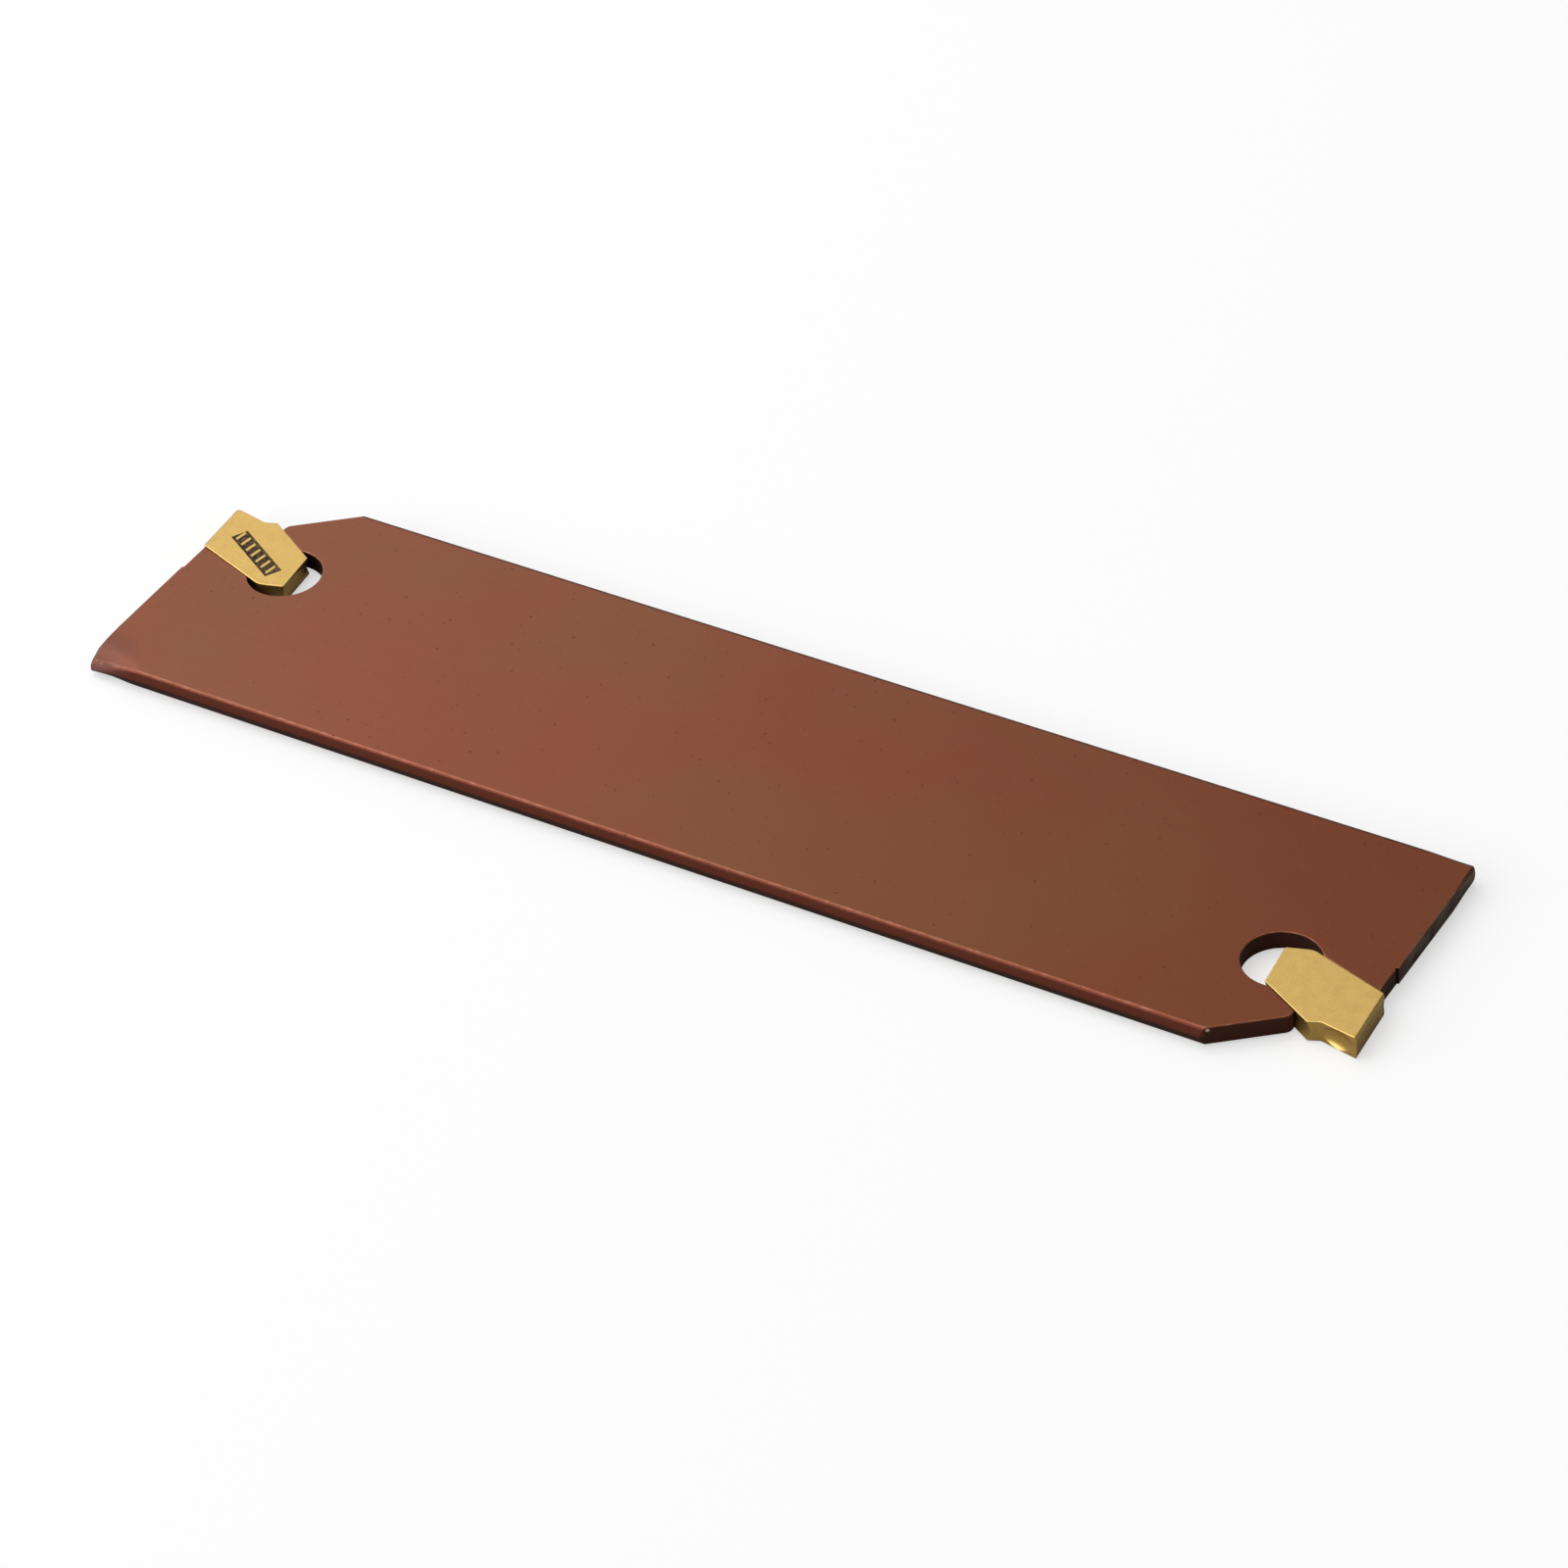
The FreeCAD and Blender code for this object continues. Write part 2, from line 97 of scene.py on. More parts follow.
JAW_RELIEF_DEPTH = 0.15
JAW_RELIEF_START = -0.4
FLANK_LEAD_IN, FLANK_LEAD_OUT = 0.8, 0.1  # how far past a flank's ends points still follow it
FLANK_REACH = 0.6
WALL_SHADE_START, WALL_SHADE_FADE = 0.03, 0.09  # how far below the face the painted shade on a wall begins

# The two outer corners, worn round: points this near are drawn towards a centre inside the corner.
DULLED_REACH = 4.5
DULLED_CENTRE = 3.0

# The near left corner, where the upper face is also pressed down over this length and width.
PRESSED_CORNER = Vector((-HALF_LENGTH, -HALF_HEIGHT))
PRESSED_LENGTH, PRESSED_WIDTH = 5.5, 2.0
PRESSED_DROP = 1.05
PRESSED_CURVE = 1.8
PRESSED_REACH = 6.0
PRESSED_GAIN = 1.2
PRESSED_STEPS = 9  # more levels on the upper face, which spread out beside the corner
RIM_STEP = 0.005  # between those levels everywhere else

CHIP = (45.52, -12.6, 1.55)  # where a knock has bared the steel

# The insert, in its own frame: the cutting edge is the origin, x forward and y up to the rake side.
EDGE_OFFSET = 8.78
EDGE_X = -left_low.x / MM
ADVANCE = right_high.x / MM - EDGE_X
WEDGE_ANGLE = math.radians(24.05)
LOWER_FLANK_ANGLE = math.radians(18.5)
UPPER_FLANK_ANGLE = math.radians(29.6)
INSERT_HALF_WIDTH = 1.0
INSERT_BACK_HALF_WIDTH = 0.8
SEAT_CLEARANCE = 0.01
VEE_DEPTH = INSERT_HALF_WIDTH * BEVEL_SLOPE
WIDEST = (left_high.z - left_low.z) / 2 / MM
CUTTING_CORNER_RADIUS = 0.2
HONE = 0.05
FRONT_HEIGHT = 5.38
CLEARANCE = math.tan(math.radians(3.3))
RAKE = math.tan(math.radians(10))
RAKE_LENGTH = 3.14
NOSE_LENGTH = 0.55
HEEL = Vector((-4.11, -0.13))
FOOT = Vector((-FRONT_HEIGHT * CLEARANCE, -FRONT_HEIGHT))
UPPER_BACK_X, BACK_X, LOWER_BACK_X = -8.93, -9.33, -7.18
BACK_CHAMFER = math.tan(math.radians(17))
BACK_CORNER_RADIUS = 1.5
BACK_EDGE_RADIUS = 0.2
VALLEY_RADIUS = 0.5
FOOT_RADIUS = 0.45
FLAT_STEPS = 10  # levels from the mid-plane to where the cutting corners begin to round
INSERT_SPACING = {"rake": 0.08, "step": 0.08, "upper": 0.3, "lower": 0.3, "front": 0.5}
INSERT_WEAR_AND_HIGHLIGHT_START = 0.75
DISH_SETBACK = 1.65
DISH_DEPTH = 0.32
DISH_RADIUS = 1.45
DISH_ARC_RADIUS = 3.5

# The band etched on the left insert's upper side, in place of the marking in the photo.
MARK_CENTRE = Vector((-4.88, -4.38, 0))
MARK_LENGTH, MARK_HEIGHT = 6.3, 1.5
MARK_BARS = 7
MARK_SLANT = 0.35
MARK_BAR_SHARE = 0.7  # of the distance from one bar to the next
MARK_RULE_START = 0.34 * MARK_HEIGHT  # from the band's middle line


# ---------------------------------------------------------------------------------------------
# Stacks of outlines


def smooth_step(t):
    t = min(max(t, 0.0), 1.0)
    return t * t * (3 - 2 * t)


def rounding(height, half, radius):
    """How far an edge of this radius has curved in at a height, with the flat face at half."""
    rise = max(abs(height) - (half - radius), 0.0)
    return radius - math.sqrt(max(radius**2 - rise**2, 0.0))


def round_corner(before, corner, after, radius):
    """Points of an arc of this radius in a corner, or the corner alone if it has no radius."""
    a, b = (before - corner).normalized(), (after - corner).normalized()
    turn = math.pi - a.angle(b)
    if radius <= 0 or turn < LEAST_TURN:
        return [corner]
    centre = corner + (a + b).normalized() * radius / math.cos(turn / 2)
    reach = radius * math.tan(turn / 2)
    start, end = corner + a * reach - centre, corner + b * reach - centre
    count = max(2, math.ceil(turn / ARC_STEP))
    spread = math.sin(turn)
    points = []
    for k in range(count + 1):
        t = k / count
        mixed = start * (math.sin((1 - t) * turn) / spread) + end * (math.sin(t * turn) / spread)
        points.append(centre + mixed)
    return points


def rounded(corners):
    """The outline through corners of (place, radius, kind of the wall that follows)."""
    outline = []
    for k, (corner, radius, kind) in enumerate(corners):
        before, after = corners[k - 1][0], corners[(k + 1) % len(corners)][0]
        arc = round_corner(before, corner, after, radius)
        outline += [(point, "arc") for point in arc[:-1]] + [(arc[-1], kind)]
    return outline


def divide(outline, spacing):
    """Adds points along the walls whose kind has a spacing."""
    result = []
    for k, (point, kind) in enumerate(outline):
        following = outline[(k + 1) % len(outline)][0]
        result.append((point, kind))
        if kind in spacing:
            count = max(1, round((following - point).length / spacing[kind]))
            result += [(point.lerp(following, j / count), kind) for j in range(1, count)]
    return result


def wall_normal(start, end):
    along = (end - start).normalized()
    return Vector((-along.y, along.x))


def inset(outline, depth):
    """Each point of the outline where its two walls meet after moving in by depth(kind, point)."""
    moved = []
    count = len(outline)
    for k, (point, kind) in enumerate(outline):
        before, kind_before = outline[k - 1]
        after = outline[(k + 1) % count][0]
        n1, n2 = wall_normal(before, point), wall_normal(point, after)
        d1, d2 = depth(kind_before, point), depth(kind, point)
        cross = n1.x * n2.y - n1.y * n2.x
        if abs(cross) < GENTLE_TURN:
            moved.append(point + (n1 + n2).normalized() * (d1 + d2) / 2)
        else:
            shift = Vector((d1 * n2.y - d2 * n1.y, d2 * n1.x - d1 * n2.x)) / cross
            moved.append(point + shift)
    return moved


def clear_line(point, on_line, inward, depth):
    """The point, pushed inward until it is at least this deep behind a line."""
    short = depth - (point - on_line).dot(inward)
    return point + inward * max(short, 0.0)


def edge_levels(top, radius, wear_start):
    """The height, rim and wear of each level round an edge of this radius, up to the face.

    The rim is how far in from its edges the face begins. Wear, with a painted highlight, grows from
    where the edge has risen by this share of its radius, to 1 where it meets the face.
    """
    levels = []
    for angle in EDGE_ANGLES:
        rise = math.sin(math.radians(angle))
        wear = smooth_step((rise - wear_start) / (1 - wear_start))
        levels.append((top - radius + radius * rise, 0, wear))
    return levels + [(top, RIM, 0)]


def mirrored(upper):
    """The levels of the upper half, the mid-plane and their mirror image, from the lowest up."""
    lower = [(-height, rim, wear) for height, rim, wear in reversed(upper)]
    return lower + [(0.0, 0, 0)] + upper


def stack_mesh(name, levels, **marks):
    """A closed mesh through levels of points in millimetres, each level one loop of equal length.

    Each mark becomes an attribute of the points, one value for each point of each level.
    """
    count = len(levels[0])
    mesh = bpy.data.meshes.new(name)
    points = [p * MM for level in levels for p in level]
    faces = [list(range(count))[::-1]]
    for k in range(len(levels) - 1):
        low, high = k * count, (k + 1) * count
        for j in range(count):
            following = (j + 1) % count
            faces.append([low + j, low + following, high + following, high + j])
    faces.append([(len(levels) - 1) * count + j for j in range(count)])
    mesh.from_pydata(points, [], faces)
    for mark, values in marks.items():
        layer = mesh.attributes.new(mark, "FLOAT", "POINT")
        layer.data.foreach_set("value", [value for level in values for value in level])
    mesh.shade_smooth()
    mesh.set_sharp_from_angle(angle=SHARP_ANGLE)
    piece = bpy.data.objects.new(name, mesh)
    bpy.context.scene.collection.objects.link(piece)
    normals = piece.modifiers.new("face_weighted_normals", "WEIGHTED_NORMAL")
    normals.keep_sharp = True
    return piece


# ---------------------------------------------------------------------------------------------
# Blade


def heading(angle):
    return Vector((math.cos(angle), math.sin(angle)))


def line_meet(p, angle_p, q, angle_q):
    """Where two lines cross, each given by a point and the angle of its direction."""
    u, v = heading(angle_p), heading(angle_q)
    cross = u.x * v.y - u.y * v.x
    gap = q - p
    return p + u * ((gap.x * v.y - gap.y * v.x) / cross)


def line_meets_circle(p, angle, centre, radius):
    """The crossing further along the line."""
    u = heading(angle)
    gap = centre - p
    along = gap.dot(u)
    aside = gap.length_squared - along**2
    return p + u * (along + math.sqrt(radius**2 - aside))


def at_right_end(local):
    """From the insert's frame at its full depth to the blade's right end."""
    return Vector((EDGE_X + local.x, -(EDGE_OFFSET + local.y)))


def flank_crest(start, angle, side):
    """A point on the crest of the ridge that runs beside a flank of the seated insert."""
    inward = Vector((-math.sin(angle), math.cos(angle))) * side * (VEE_DEPTH - SEAT_CLEARANCE)
    return at_right_end(start + inward)


def right_end_outline():
    """The right end at the mid-plane, from the near edge round to the far one, and its flanks."""
    start = Vector((HALF_LENGTH - CORNER_CUT_LENGTH, -HALF_HEIGHT))
    upper = flank_crest(HEEL, UPPER_FLANK_ANGLE, -1)
    lower = flank_crest(FOOT, LOWER_FLANK_ANGLE, 1)
    jaw_tip = line_meet(start, CORNER_CUT_ANGLE, upper, -UPPER_FLANK_ANGLE)
    hole_in = line_meets_circle(upper, -UPPER_FLANK_ANGLE, KEY_HOLE, KEY_HOLE_RADIUS)
    hole_out = line_meets_circle(lower, -LOWER_FLANK_ANGLE, KEY_HOLE, KEY_HOLE_RADIUS)
    relief_x = HALF_LENGTH - JAW_RELIEF_DEPTH
    lower_end = line_meet(lower, -LOWER_FLANK_ANGLE, Vector((relief_x, 0)), math.pi / 2)
    lip = lower_end - heading(-LOWER_FLANK_ANGLE)
    corners = [
        (Vector((0, -HALF_HEIGHT)), 0, "edge"),
        (start, 0, "plain"),
        (jaw_tip, JAW_TIP_RADIUS, "upper"),
        (hole_in, 0, "hole"),
        *key_hole_points(hole_in, hole_out),
        (hole_out, 0, "lower"),
        (lip, 0, "lip"),
        (lower_end, 0, "plain"),
        (Vector((relief_x, JAW_RELIEF_START)), 0, "plain"),
        (Vector((HALF_LENGTH, JAW_RELIEF_START)), 0, "plain"),
        (Vector((HALF_LENGTH, HALF_HEIGHT)), OUTER_CORNER_RADIUS, "edge"),
        (Vector((0, HALF_HEIGHT)), 0, "seam"),
    ]
    flanks = [
        (upper, -UPPER_FLANK_ANGLE, -1, hole_in, jaw_tip),
        (lower, -LOWER_FLANK_ANGLE, 1, hole_out, lower_end),
    ]
    return divide(rounded(corners), BLADE_SPACING)[:-1], flanks


def key_hole_points(first, last):
    """The hole's wall between the two flanks, the long way round."""
    start = math.atan2(*(first - KEY_HOLE).yx)
    sweep = (start - math.atan2(*(last - KEY_HOLE).yx)) % (2 * math.pi)
    points = []
    for k in range(1, KEY_HOLE_STEPS):
        angle = start - sweep * k / KEY_HOLE_STEPS
        points.append((KEY_HOLE + heading(angle) * KEY_HOLE_RADIUS, 0, "hole"))
    return points


def edge_depth(height):
    """The bevel of a long edge, with its crest and its crease to the face rounded."""
    height = abs(height)
    crest_reach = PRISM_CREST_RADIUS * math.sin(math.atan(BEVEL_SLOPE))
    if height < crest_reach:
        crest_centre = PRISM_CREST_RADIUS / math.cos(math.atan(BEVEL_SLOPE))
        return crest_centre - math.sqrt(PRISM_CREST_RADIUS**2 - height**2)
    centre = HALF_THICKNESS - PRISM_EDGE_RADIUS
    centre_depth = PRISM_EDGE_RADIUS / math.cos(math.atan(BEVEL_SLOPE)) + centre * BEVEL_SLOPE
    rise = height - centre
    if rise < PRISM_EDGE_RADIUS * math.sin(math.atan(BEVEL_SLOPE)):
        return height * BEVEL_SLOPE
    return centre_depth - math.sqrt(max(PRISM_EDGE_RADIUS**2 - rise**2, 0.0))


def clear_flanks(point, flanks, height, rim):
    """Pushes points beside a seat's flank back to the slope of its ridge."""
    depth = abs(height) * BEVEL_SLOPE + rounding(height, HALF_THICKNESS, EDGE_BREAK) + rim
    for crest, angle, side, start, end in flanks:
        inward = Vector((-math.sin(angle), math.cos(angle))) * side
        along = (end - start).normalized()
        place = (point - start).dot(along)
        beside = -FLANK_LEAD_IN < place < (end - start).length + FLANK_LEAD_OUT
        if beside and abs((point - crest).dot(inward)) < FLANK_REACH:
            point = clear_line(point, crest, inward, depth)
    return point


def dull_corner(loop, height, side, below, above):
    """Rounds an outer corner over, drawn back by these depths at the lower and the upper face."""
    corner = Vector((HALF_LENGTH, HALF_HEIGHT)) * side
    centre = corner - Vector((DULLED_CENTRE, DULLED_CENTRE)) * side
    depth = above if height > 0 else below
    nose = depth * (1 - math.sqrt(max(1 - (height / HALF_THICKNESS) ** 2, 0.0)))
    result = []
    for point in loop:
        near = smooth_step(1 - (point - corner).length / DULLED_REACH)
        result.append(point + (centre - point).normalized() * nose * near)
    return result


def draw_corner_in(loop, steps):
    """Draws the points beside the pressed corner inward over the face, by this many steps."""
    centre = PRESSED_CORNER + Vector((PRESSED_REACH, PRESSED_REACH))
    result = []
    for point in loop:
        away = (point - PRESSED_CORNER).length / PRESSED_REACH
        near = smooth_step(PRESSED_GAIN * (1 - away))
        result.append(point.lerp(centre, near * steps / (PRESSED_STEPS + 1)))
    return result


def pressed_height(point, height):
    """The height of a point where the upper face bends down to the pressed corner."""
    along, across = point - PRESSED_CORNER
    away = math.sqrt((along / PRESSED_LENGTH) ** 2 + (across / PRESSED_WIDTH) ** 2)
    drop = PRESSED_DROP * max(1 - away, 0.0) ** PRESSED_CURVE
    share = (height + HALF_THICKNESS) / (2 * HALF_THICKNESS)
    return height - drop * share


def blade_levels():
    upper = [(height, 0, 0) for height in WALL_HEIGHTS]
    upper += edge_levels(HALF_THICKNESS, PRISM_EDGE_RADIUS, BLADE_WEAR_AND_HIGHLIGHT_START)
    pressed = [(HALF_THICKNESS, RIM + RIM_STEP * k, 0) for k in range(1, PRESSED_STEPS + 1)]
    return mirrored(upper) + pressed


def make_blade():
    """The blade, worn at its two outer corners and pressed down at the near left one."""
    outline, flanks = right_end_outline()
    closed = outline + [(-point, kind) for point, kind in outline]
    levels, wears, milled = [], [], []
    for height, rim, wear in blade_levels():
        edge = edge_depth(height) + rim
        wall = rounding(height, HALF_THICKNESS, EDGE_BREAK) + rim
        depths = {"edge": edge, "lip": wall + abs(height) * BEVEL_SLOPE}
        loop = inset(closed, lambda kind, point: depths.get(kind, wall))
        half = [clear_flanks(point, flanks, height, rim) for point in loop[: len(outline)]]
        limit = HALF_HEIGHT - edge
        half = [Vector((p.x, min(max(p.y, -limit), limit))) for p in half]
        loop = half + [-point for point in half]
        loop = dull_corner(loop, height, side=-1, below=0.8, above=0.3)
        loop = dull_corner(loop, height, side=1, below=0.3, above=0.3)
        loop = draw_corner_in(loop, max(rim - RIM, 0.0) / RIM_STEP)
        levels.append([Vector((p.x, p.y, MID_Z + pressed_height(p, height))) for p in loop])
        # Walls below the face take painted shade, which fades in just under the face.
        below_face = HALF_THICKNESS - abs(height)
        wall_share = smooth_step((below_face - WALL_SHADE_START) / WALL_SHADE_FADE)
        wears.append([wear] * len(loop))
        milled.append([wall_share] * len(loop))
    return stack_mesh("coated_blade", levels, wear=wears, milled=milled)


# ---------------------------------------------------------------------------------------------
# Inserts


def insert_outline(edge_radius):
    """The insert's outline at its nominal flanks, and the straight walls that make it."""
    lower_slope, upper_slope = math.tan(LOWER_FLANK_ANGLE), math.tan(UPPER_FLANK_ANGLE)
    lower_back = Vector((LOWER_BACK_X, FOOT.y + (LOWER_BACK_X - FOOT.x) * lower_slope))
    back = Vector((BACK_X, lower_back.y + (LOWER_BACK_X - BACK_X) * BACK_CHAMFER))
    upper_back = Vector((UPPER_BACK_X, HEEL.y + (UPPER_BACK_X - HEEL.x) * upper_slope))
    valley = Vector((-RAKE_LENGTH, -RAKE_LENGTH * RAKE))
    corners = [
        (Vector((0, 0)), edge_radius, "nose"),
        (Vector((-NOSE_LENGTH, -NOSE_LENGTH * RAKE)), 0, "rake"),
        (valley, VALLEY_RADIUS, "step"),
        (HEEL, 0, "upper"),
        (upper_back, BACK_EDGE_RADIUS, "back"),
        (back, BACK_EDGE_RADIUS, "back"),
        (lower_back, BACK_CORNER_RADIUS, "lower"),
        (FOOT, FOOT_RADIUS, "front"),
    ]
    walls = []
    for k, (corner, _, kind) in enumerate(corners):
        following = corners[(k + 1) % len(corners)][0]
        if kind not in ("nose", "rake", "step"):
            walls.append((corner, wall_normal(corner, following), kind))
    return divide(rounded(corners), INSERT_SPACING), walls


def insert_half_width(x):
    """Half the insert's width, which tapers from the cutting edge to the back."""
    taper = (INSERT_HALF_WIDTH - INSERT_BACK_HALF_WIDTH) / BACK_X
    return INSERT_HALF_WIDTH - taper * x


def insert_depth(kind, point, share):
    """How far a wall has curved in at this share of the half width."""
    half = insert_half_width(point.x)
    radius = CUTTING_CORNER_RADIUS if kind == "front" else HONE
    return rounding(share * half, half, radius)


def dish_drop(point, across):
    """How far the chip former's dish lies below the rake face at a point on it."""
    along = (point.x + DISH_SETBACK) / math.cos(math.atan(RAKE))
    radius = math.sqrt(max(DISH_ARC_RADIUS**2 - along**2, 0.0)) - (DISH_ARC_RADIUS - DISH_RADIUS)
    if radius <= abs(across):
        return 0.0
    return max(math.sqrt(radius**2 - across**2) - (DISH_RADIUS - DISH_DEPTH), 0.0)


def insert_level(outline, walls, share, rim):
    """The outline at one share of the half width: honed, grooved along the flanks and dished."""
    level = []
    loop = inset(outline, lambda kind, point: insert_depth(kind, point, share) + rim)
    for (point, kind), moved in zip(outline, loop):
        half = insert_half_width(point.x)
        across = min(max(share * half, -WIDEST), WIDEST)
        groove = max(INSERT_HALF_WIDTH - abs(across), 0.0) * BEVEL_SLOPE
        for on_wall, inward, wall in walls:
            depth = insert_depth(wall, point, share) + rim
            if wall in ("upper", "lower"):
                depth += groove
            moved = clear_line(moved, on_wall, inward, depth)
        if moved.x > -NOSE_LENGTH:
            rake_normal = wall_normal(Vector((0, 0)), Vector((-1, -RAKE)))
            depth = rounding(across, half, HONE) + rim
            moved = clear_line(moved, Vector((0, 0)), rake_normal, depth)
        drop = dish_drop(moved, across) if kind in ("rake", "step") else 0.0
        level.append(Vector((moved.x, moved.y - drop, across)))
    return level


def insert_levels():
    """The insert's levels, with their heights as shares of its half width."""
    flat = 1 - CUTTING_CORNER_RADIUS
    upper = [(flat * k / FLAT_STEPS, 0, 0) for k in range(1, FLAT_STEPS + 1)]
    return mirrored(upper + edge_levels(1.0, CUTTING_CORNER_RADIUS, INSERT_WEAR_AND_HIGHLIGHT_START))


def make_insert(name, place, edge_radius):
    """An insert, with its cutting edge rounded by this radius at the nose."""
    outline, walls = insert_outline(edge_radius)
    levels, wears = [], []
    for share, rim, wear in insert_levels():
        level = insert_level(outline, walls, share, rim)
        levels.append([place @ p for p in level])
        wears.append([wear] * len(level))
    return stack_mesh(name, levels, wear=wears)


def insert_places():
    """Where the inserts' own frame goes: at each end, with the rake side out."""
    left = Matrix.Translation((-EDGE_X, EDGE_OFFSET, MID_Z)) @ Matrix.Rotation(math.pi, 4, "Y")
    forward = Vector((math.cos(WEDGE_ANGLE), -math.sin(WEDGE_ANGLE), 0))
    moved = Vector((EDGE_X, -EDGE_OFFSET, MID_Z)) + forward * (ADVANCE / math.cos(WEDGE_ANGLE))
    right = Matrix.Translation(moved) @ Matrix.Rotation(math.pi, 4, "X")
    return left, right


# ---------------------------------------------------------------------------------------------
# Materials


# The left coat tone carries a painted sheen, lighter than the right one towards the key light.
COAT_LEFT_WITH_PAINTED_SHEEN = (0.272, 0.083, 0.046, 1), (0.25, 0.092, 0.048, 1)
COAT_RIGHT = (0.205, 0.057, 0.025, 1), (0.2, 0.068, 0.028, 1)
GRINDING_LINE = (0.12, 0.036, 0.02, 1)
# Painted shade on the walls below the faces.
WALL_PAINTED_SHADE = (0.07, 0.027, 0.018, 1)
# Painted shade on the bevels: the upper one darker than the face, the lower one, facing down,
# darker still.
LOWER_BEVEL_PAINTED_SHADE, UPPER_BEVEL_PAINTED_SHADE = (0.075, 0.03, 0.022, 1), (0.165, 0.042, 0.025, 1)
FAR_EDGE = (0.06, 0.025, 0.02, 1)
RUBBED_END = (0.19, 0.15, 0.11, 1)
# Greyer at the pressed corner, and darkened there as painted shade over its rounded surface.
GREYED_CORNER_PAINTED_SHADE = (0.125, 0.056, 0.046, 1)
# Edge wear, and a painted highlight along the rounded crease.
WORN_EDGE_AND_HIGHLIGHT = (0.5, 0.22, 0.16, 1)
PIT = (0.05, 0.025, 0.02, 1)
BARE_STEEL = (0.95, 0.72, 0.55, 1)
GOLD, DEEP_GOLD = (0.70, 0.463, 0.138, 1), (0.66, 0.43, 0.125, 1)
# Edge wear on the inserts, and a painted highlight along their rounded edges.
RUBBED_GOLD_AND_HIGHLIGHT = (0.9, 0.66, 0.3, 1)
ETCHED = (0.035, 0.022, 0.016, 1)


class Nodes:
    """Adds shader nodes to one material, with its coordinates in millimetres of the rest frame."""

    def __init__(self, name):
        self.material = bpy.data.materials.new(name)
        self.material.use_nodes = True
        self.tree = self.material.node_tree
        self.tree.nodes.clear()
        self.output = self.add("ShaderNodeOutputMaterial")
        self.shader = self.add("ShaderNodeBsdfPrincipled")
        self.tree.links.new(self.shader.outputs[0], self.output.inputs["Surface"])
        place = self.add("ShaderNodeTexCoord").outputs["Object"]
        self.place = self.scaled(place, (1 / MM,) * 3)

    def add(self, kind, inputs=None, **settings):
        node = self.tree.nodes.new(kind)
        for key, value in settings.items():
            setattr(node, key, value)
        for key, value in (inputs or {}).items():
            self.plug(node.inputs[key], value)
        return node

    def plug(self, socket, value):
        if isinstance(value, bpy.types.NodeSocket):
            self.tree.links.new(value, socket)
        else:
            socket.default_value = value

    def scaled(self, vector, scale):
        return self.add("ShaderNodeMapping", {"Vector": vector, "Scale": scale}).outputs[0]

    def noise(self, scale, detail, stretch=(1, 1, 1), rough=0.5):
        """Noise with this many features in a millimetre."""
        inputs = {
            "Vector": self.scaled(self.place, stretch),
            "Scale": scale,
            "Detail": detail,
            "Roughness": rough,
        }
        return self.add("ShaderNodeTexNoise", inputs).outputs["Fac"]

    def spread(self, value, low, high, out_low=0.0, out_high=1.0):
        """A smooth change from out_low to out_high as the value goes from low to high."""
        inputs = {
            "Value": value,
            "From Min": low,
            "From Max": high,
            "To Min": out_low,
            "To Max": out_high,
        }
        return self.add("ShaderNodeMapRange", inputs, interpolation_type="SMOOTHSTEP").outputs[0]

    def math(self, operation, a, b=0.0):
        node = self.add("ShaderNodeMath", {0: a, 1: b}, operation=operation)
        return node.outputs[0]

    def distance(self, a, b):
        node = self.add("ShaderNodeVectorMath", {0: a, 1: b}, operation="DISTANCE")
        return node.outputs["Value"]

    def mix(self, share, a, b):
        node = self.add("ShaderNodeMix", data_type="RGBA")
        for key, value in ((0, share), (6, a), (7, b)):
            self.plug(node.inputs[key], value)
        return node.outputs[2]

    def bump(self, height, distance, strength):
        inputs = {"Height": height, "Distance": distance * MM, "Strength": strength}
        return self.add("ShaderNodeBump", inputs).outputs[0]

    def mark(self, name):
        """What stack_mesh stored on the points under this name."""
        return self.add("ShaderNodeAttribute", attribute_name=name).outputs["Fac"]

    def surface(self, inputs):
        """Sets these inputs of the shader, and returns the finished material."""
        for key, value in inputs.items():
            self.plug(self.shader.inputs[key], value)
        return self.material


